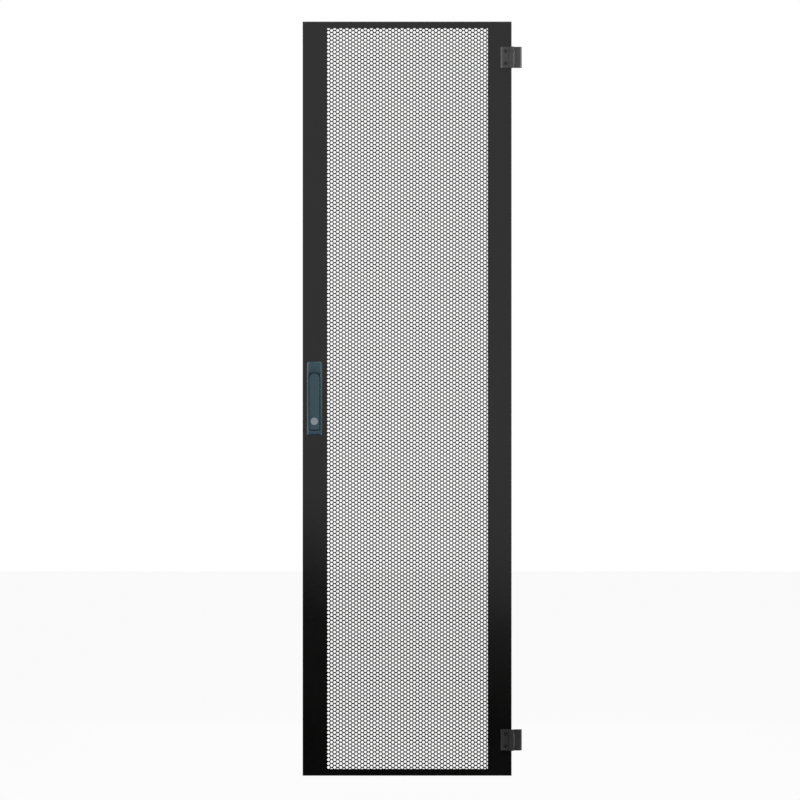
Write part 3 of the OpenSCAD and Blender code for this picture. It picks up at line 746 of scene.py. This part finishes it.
def makeLights():
    frontPanel()
    z = doorMid.z + studio["sideRaise"]
    for side, name in ((-1, "leftStrip"), (1, "rightStrip")):
        place = (doorMid.x + side * studio["sideReach"], -studio["sideForward"], z)
        areaLight(name, place, (doorMid.x, 0, z), studio["sideSize"], studio["sideStrength"])
    place = (doorMid.x, -studio["topForward"], doorHigh.z + studio["topRaise"])
    aim = (doorMid.x, studio["topAim"], doorMid.z)
    areaLight("topStrip", place, aim, studio["topSize"], studio["topStrength"])
    place = (doorMid.x, studio["backDistance"], doorMid.z + studio["backRaise"])
    aim = (doorMid.x, 0, doorMid.z)
    areaLight("backPanel", place, aim, studio["backSize"], studio["backStrength"])


def mathNode(tree, operation, a, b):
    node = tree.nodes.new("ShaderNodeMath")
    node.operation = operation
    for slot, value in enumerate((a, b)):
        if isinstance(value, (int, float)):
            node.inputs[slot].default_value = value
        else:
            tree.links.new(value, node.inputs[slot])
    return node.outputs[0]


def rearShare(tree, vector, limits):
    # 1 behind the door's plane and 0 well in front of it, for what a reflection shows of the room
    axes = tree.nodes.new("ShaderNodeSeparateXYZ")
    tree.links.new(vector, axes.inputs["Vector"])
    share = tree.nodes.new("ShaderNodeMapRange")
    share.interpolation_type = "SMOOTHSTEP"
    share.inputs["From Min"].default_value = limits[0]
    share.inputs["From Max"].default_value = limits[1]
    tree.links.new(axes.outputs["Y"], share.inputs["Value"])
    return share.outputs["Result"]


def seenShare(tree, rear):
    # camera and transmission rays see the white room, and so do reflections of its rear half
    path = tree.nodes.new("ShaderNodeLightPath")
    glossy = path.outputs["Is Glossy Ray"]
    eye, through = path.outputs["Is Camera Ray"], path.outputs["Is Transmission Ray"]
    direct = mathNode(tree, "MAXIMUM", eye, through)
    mirrored = mathNode(tree, "MULTIPLY", glossy, rear)
    return mathNode(tree, "MAXIMUM", direct, mirrored), glossy


def mixShaders(tree, share, first, second):
    mix = tree.nodes.new("ShaderNodeMixShader")
    tree.links.new(share, mix.inputs["Fac"])
    tree.links.new(first, mix.inputs[1])
    tree.links.new(second, mix.inputs[2])
    return mix.outputs["Shader"]


def makeFloorMaterial():
    # white to the eye, with the lit surface mixed in so that a shadow shows
    material, tree, shader = newMaterial("floorWhite")
    shader.inputs["Base Color"].default_value = studio["floorPaint"]
    shader.inputs["Roughness"].default_value = studio["floorRoughness"]
    where = tree.nodes.new("ShaderNodeTexCoord")
    seen, glossy = seenShare(tree, rearShare(tree, where.outputs["Object"], studio["floorTurn"]))
    glow = tree.nodes.new("ShaderNodeEmission")
    white = mathNode(tree, "MULTIPLY", seen, studio["floorGlow"])
    lit = mixShaders(tree, white, shader.outputs["BSDF"], glow.outputs["Emission"])
    # a reflection of the front half of the floor is dark, as the carpet of a studio is
    carpet = tree.nodes.new("ShaderNodeEmission")
    carpet.inputs["Strength"].default_value = studio["darkFront"]
    unseen = mathNode(tree, "MAXIMUM", mathNode(tree, "SUBTRACT", glossy, seen), 0.0)
    surface = mixShaders(tree, unseen, lit, carpet.outputs["Emission"])
    tree.links.new(surface, tree.nodes["Material Output"].inputs["Surface"])
    return material


def makeWorld():
    world = bpy.data.worlds.new("studioWorld")
    scene.world = world
    world.use_nodes = True
    tree = world.node_tree
    background = tree.nodes["Background"]
    background.inputs["Color"].default_value = (1, 1, 1, 1)
    where = tree.nodes.new("ShaderNodeTexCoord")
    rear = rearShare(tree, where.outputs["Generated"], studio["worldTurn"])
    seen, glossy = seenShare(tree, rear)
    dimmed = mathNode(tree, "MULTIPLY", glossy, studio["worldDiffuse"] - studio["darkFront"])
    low = mathNode(tree, "SUBTRACT", studio["worldDiffuse"], dimmed)
    tree.links.new(mathNode(tree, "MAXIMUM", seen, low), background.inputs["Strength"])


def makeStage():
    selectNothing()
    place = (doorMid.x, 0, doorLow.z - studio["floorDrop"])
    bpy.ops.mesh.primitive_plane_add(size=studio["floorSize"], location=place)
    floor = bpy.context.object
    floor.name = "floor"
    floor.data.materials.append(makeFloorMaterial())


makeLights()
makeWorld()
makeStage()
print("studio set")
